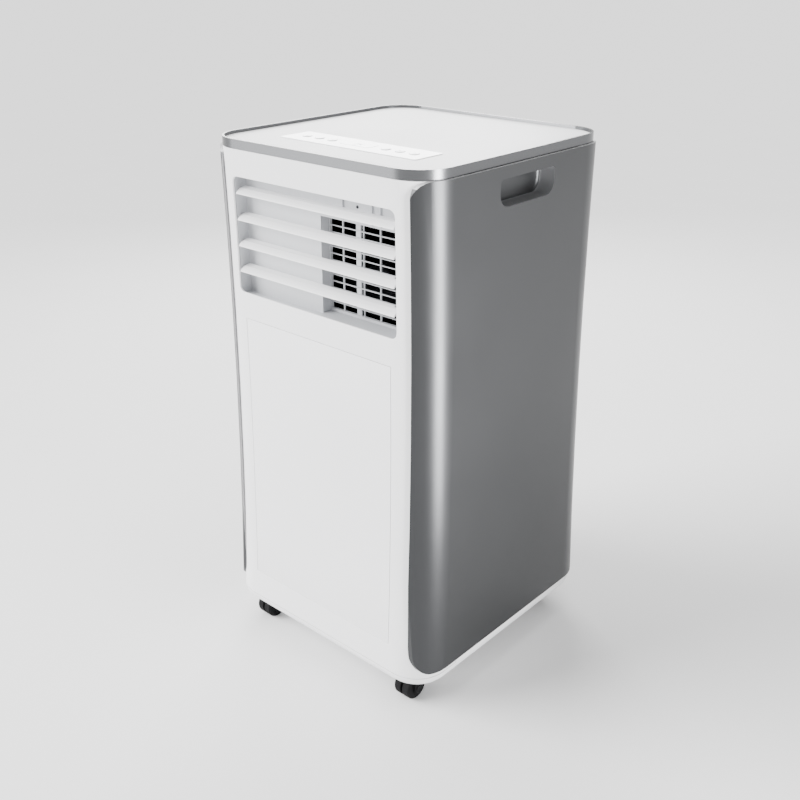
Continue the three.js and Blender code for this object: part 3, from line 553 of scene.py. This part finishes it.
def fin_stack(node):
    """A heat exchanger as it shows through the grille: thin fins across rows of tube, with end plates."""
    low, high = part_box(node)
    work = bmesh.new()
    depth = (low[1] + FIN_INSET, high[1] - FIN_INSET)
    height = (low[2] + FIN_INSET, high[2] - FIN_INSET)
    count = int((high[0] - low[0] - 2 * END_PLATE) / FIN_PITCH)
    for i in range(1, count):
        x = low[0] + END_PLATE + i * FIN_PITCH
        slab(work, (x - FIN_HALF, x + FIN_HALF), depth, height)
    for x in (low[0], high[0] - END_PLATE):
        slab(work, (x, x + END_PLATE), (low[1], high[1]), (low[2], high[2]))
    finish_piece(linked(f"{node}_fins", work), node)
    work = bmesh.new()
    length = high[0] - low[0]
    profile = [(0, 0), (TUBE_RADIUS, 0), (TUBE_RADIUS, length), (0, length)]
    z = low[2] + TUBE_PITCH / 2
    while z < high[2] - TUBE_PITCH / 3:
        for y in (low[1] + TUBE_INSET, high[1] - TUBE_INSET):
            lathe(work, profile, (low[0], y, z), "x", 12)
        z += TUBE_PITCH
    new_piece(f"{node}_tubes", work, node, "copper_tube")


def skin_at(node, x, z):
    """Where a look from behind, level and straight ahead, meets a node's skin."""
    mesh = frame["nodes"][node].data
    tree = BVHTree.FromPolygons([v.co for v in mesh.vertices], [f.vertices for f in mesh.polygons])
    behind, ahead = Vector((x, 1.0, z)), Vector((0, -1, 0))
    return tree.ray_cast(behind, ahead)[0]


def rear_screws():
    """Screws that hold the rear panel."""
    for i, (x, z) in enumerate(REAR_SCREWS):
        seat = skin_at("rear_panel", x, z)
        at = (seat.x, seat.y - REAR_SCREW_SUNK, seat.z)
        screw(f"rear_screw_{i + 1}", at, 1, REAR_SCREW_RADIUS, "rear_panel")


def collar_lugs():
    """Bayonet lugs inside the exhaust collar, which a hose adapter turns behind."""
    low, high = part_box("exhaust_collar")
    x, z, mouth = (low[0] + high[0]) / 2, (low[2] + high[2]) / 2, high[1]
    back, front = (mouth - depth for depth in LUG_DEPTHS)
    section = ((LUG_INNER, back), (LUG_INNER, front), (LUG_OUTER, front), (LUG_OUTER, back))
    work = bmesh.new()
    for turn in range(LUG_COUNT):
        middle = 2 * math.pi * (turn + 0.5) / LUG_COUNT
        angles = [middle + LUG_SPAN * (step / LUG_STEPS - 0.5) for step in range(LUG_STEPS + 1)]
        strips = [
            [work.verts.new((x + radius * math.cos(a), y, z + radius * math.sin(a))) for a in angles]
            for radius, y in section
        ]
        for near, far in zip(strips, strips[1:] + strips[:1]):
            for step in range(LUG_STEPS):
                work.faces.new((near[step], near[step + 1], far[step + 1], far[step]))
        for end in (0, -1):
            work.faces.new([strip[end] for strip in strips])
    bmesh.ops.recalc_face_normals(work, faces=work.faces)
    new_piece("collar_lugs", work, "exhaust_collar", SLOT_OF["exhaust_collar"])


def hub_caps():
    """A dished cap over each end of every caster axle."""
    for corner in ("front_left", "front_right", "rear_left", "rear_right"):
        fork = f"caster_fork_{corner}"
        low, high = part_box(f"caster_wheel_{corner}")
        centre = [(a + b) / 2 for a, b in zip(low, high)]
        cheek = (high[0] - low[0]) / 2 + CHEEK
        work = bmesh.new()
        for side in (-1, 1):
            lathe(work, [(radius, side * (cheek + out)) for radius, out in CAP_PROFILE], centre, "x")
        new_piece(f"caster_cap_{corner}", work, fork, SLOT_OF[fork])


def screw(name, at, facing, radius, node):
    """A pan-head screw at the point given, facing the rear (1) or the front (-1), with a black cross on its
    head as painted shade for the cross recess.
    """
    x, y, z = at
    high = radius * SCREW_HIGH
    quarter = [math.pi / 2 * i / 5 for i in range(5)]
    dome = [(radius * math.cos(a), facing * high * math.sin(a)) for a in quarter]
    work = bmesh.new()
    lathe(work, dome + [(0, facing * high)], at, "y")
    new_piece(name, work, node, "dark_steel")
    work = bmesh.new()
    # painted shade: a black cross standing just proud of the head where the recess's dark would be
    depth = sorted((y, y + facing * (high + CROSS_PROUD)))
    long, thin = radius * CROSS_HALF_LONG, radius * CROSS_HALF_THIN
    for half_x, half_z in ((long, thin), (thin, long)):
        slab(work, (x - half_x, x + half_x), depth, (z - half_z, z + half_z))
    new_piece(f"{name}_cross_shade", work, node, "black_plastic")


button_symbols()
display_figures()
dust_filter()
fin_stack("evaporator_coil")
fin_stack("condenser_coil")
screw("duct_screw", DUCT_SCREW_AT, -1, DUCT_SCREW_RADIUS, "outlet_duct")
rear_screws()
collar_lugs()
hub_caps()


# ---- studio

def area_light(name, at, towards, size, power, size_y=None):
    """A soft square or rectangle of light that shines towards the point given."""
    data = bpy.data.lights.new(name, "AREA")
    data.energy = power
    data.size = size
    if size_y:
        data.shape = "RECTANGLE"
        data.size_y = size_y
    light = bpy.data.objects.new(name, data)
    light.location = at
    light.rotation_mode = "QUATERNION"
    light.rotation_quaternion = (Vector(towards) - Vector(at)).to_track_quat("-Z", "Y")
    bpy.context.scene.collection.objects.link(light)
    return light


def sun_light(name, comes_from, strength, spread):
    """An even light from one side, with the spread given in degrees."""
    data = bpy.data.lights.new(name, "SUN")
    data.energy = strength
    data.angle = math.radians(spread)
    light = bpy.data.objects.new(name, data)
    light.rotation_mode = "QUATERNION"
    light.rotation_quaternion = Vector(comes_from).to_track_quat("Z", "Y")
    bpy.context.scene.collection.objects.link(light)
    return light


def lay_floor():
    """A pale floor that runs out to the horizon."""
    mesh = bpy.data.meshes.new("floor")
    corners = [(x * FLOOR_HALF, y * FLOOR_HALF, 0) for x, y in ((-1, -1), (1, -1), (1, 1), (-1, 1))]
    mesh.from_pydata(corners, [], [(0, 1, 2, 3)])
    floor = bpy.data.objects.new("floor", mesh)
    mesh.materials.append(moulded("floor_paint", FLOOR, 0.9, grain=40.0, spread=0.01, specular=0.1))
    bpy.context.scene.collection.objects.link(floor)


def light_studio():
    """White surroundings, a key light from the front left, and soft boxes that stay out of the picture."""
    world = bpy.data.worlds.new("studio")
    world.use_nodes = True
    background = world.node_tree.nodes["Background"]
    background.inputs["Color"].default_value = (1.0, 1.0, 1.0, 1)
    background.inputs["Strength"].default_value = WORLD_STRENGTH
    bpy.context.scene.world = world

    sun_light("key", KEY_FROM, KEY_STRENGTH, KEY_SPREAD)
    strip = area_light("side_strip", STRIP_AT, STRIP_TOWARDS, STRIP_WIDTH, STRIP_POWER, STRIP_HEIGHT)
    strip.data.spread = math.radians(STRIP_SPREAD)
    overhead = area_light("overhead", (0, 0, OVERHEAD_Z), (0, 0, 0), OVERHEAD_SIZE, OVERHEAD_POWER)
    back = area_light("back_softbox", BACK_AT, BACK_TOWARDS, BACK_SIZE, BACK_POWER)
    front = area_light("front_softbox", FRONT_AT, FRONT_TOWARDS, FRONT_SIZE, FRONT_POWER)
    for light in (strip, overhead, back, front):
        light.visible_camera = False


def place_camera():
    """The camera at the photograph's angle."""
    data = bpy.data.cameras.new("camera")
    data.sensor_width = SENSOR
    data.lens = CAMERA_LENS
    data.shift_y = CAMERA_SHIFT_Y
    eye = bpy.data.objects.new("camera", data)
    eye.location = CAMERA_AT
    look = Vector((
        -math.sin(CAMERA_YAW) * math.cos(CAMERA_PITCH),
        math.cos(CAMERA_YAW) * math.cos(CAMERA_PITCH),
        -math.sin(CAMERA_PITCH),
    ))
    eye.rotation_mode = "QUATERNION"
    eye.rotation_quaternion = look.to_track_quat("-Z", "Y")
    bpy.context.scene.collection.objects.link(eye)
    bpy.context.scene.camera = eye


lay_floor()
light_studio()
place_camera()

bpy.context.view_layer.update()
